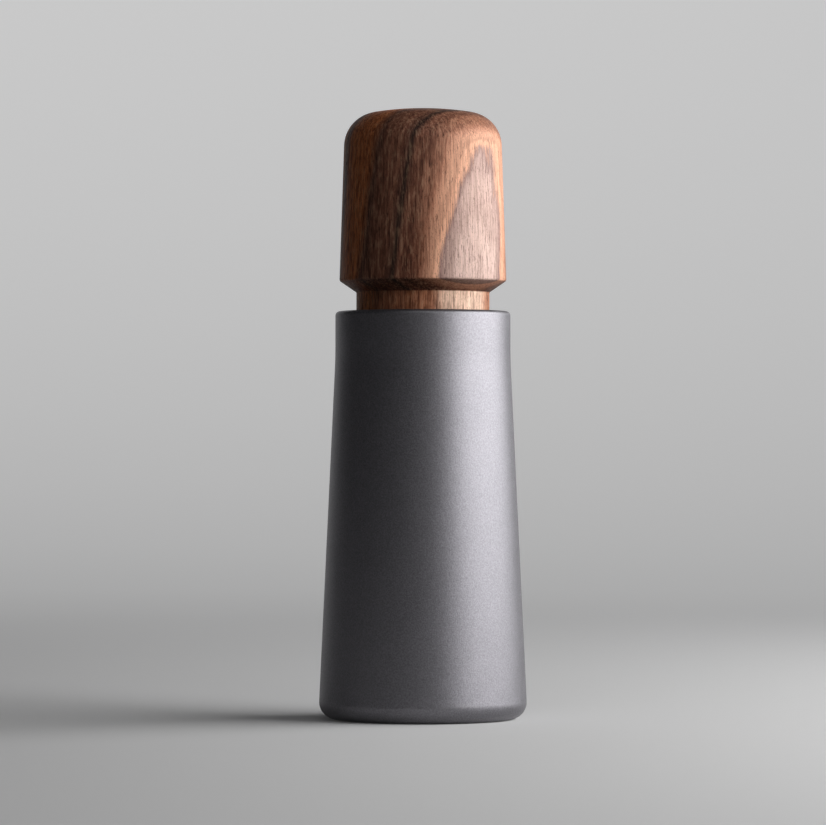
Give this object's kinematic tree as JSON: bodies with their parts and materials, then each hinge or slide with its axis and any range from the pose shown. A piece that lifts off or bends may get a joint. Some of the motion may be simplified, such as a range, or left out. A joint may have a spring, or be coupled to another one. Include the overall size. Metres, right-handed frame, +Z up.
{
  "type": "pepper mill",
  "caption": "Pepper mill: a tapered metal body, a turned wooden knob that drives a ceramic burr through a hexagon shaft, and a grind adjuster under the base.",
  "frame": {"origin": "on the floor, at the middle of the ring that the mill stands on", "axes": "+Z up along the mill's turning axis, X and Y level"},
  "size_m": [0.0578, 0.0578, 0.17],
  "materials": {
    "walnut": "turned walnut, satin oiled",
    "shell_aluminium": "bead-blasted titanium-grey satin",
    "black_plastic": "moulded, fine matt texture",
    "liner_plastic": "moulded dark grey, matt",
    "acetal": "moulded acetal, low gloss",
    "ceramic": "fired alumina, unglazed",
    "brass": "turned",
    "steel": "turned stainless",
    "spring_steel": "drawn wire",
    "shaft_aluminium": "drawn hexagon bar",
    "rubber": "moulded"
  },
  "bodies": {
    "body": {"body_shell": "shell_aluminium", "neck_bush": "acetal", "chamber_liner": "liner_plastic", "mechanism_housing": "black_plastic", "outlet_ring": "black_plastic", "outlet_screws": "steel", "stator_burr": "ceramic", "bridge_bushing": "brass"},
    "drive": {"spindle": "steel", "drive_shaft": "shaft_aluminium", "lower_thrust_washer": "steel", "upper_thrust_washer": "steel", "spindle_circlip": "spring_steel", "burr_spring": "spring_steel"},
    "head": {"knob": "walnut", "knob_socket": "black_plastic", "socket_screws": "steel", "neck_seal": "rubber", "grip_ring": "rubber"},
    "rotor": {"rotor_core": "acetal", "rotor_burr": "ceramic"},
    "adjuster": {"adjuster_wheel": "black_plastic", "adjuster_nut": "brass"}
  },
  "joints": [
    {"name": "head_turn", "type": "hinge", "parent": "body", "child": "drive", "pos_m": [0, 0, 0.035], "axis": [0, 0, 1], "continuous": true},
    {"name": "head_lift", "type": "slide", "parent": "drive", "child": "head", "axis": [0, 0, 1], "range_m": [0, 0.045]},
    {"name": "burr_gap", "type": "slide", "parent": "drive", "child": "rotor", "axis": [0, 0, 1], "range_m": [0, 0.0016], "deforming": ["burr_spring"]},
    {"name": "adjuster_turn", "type": "hinge", "parent": "rotor", "child": "adjuster", "pos_m": [0, 0, 0.0045], "axis": [0, 0, 1], "range_deg": [0, 720]}
  ],
  "couplings": [
    {"joint": "adjuster_turn", "follows": "burr_gap", "rad_per_m": 7853.9}
  ]
}
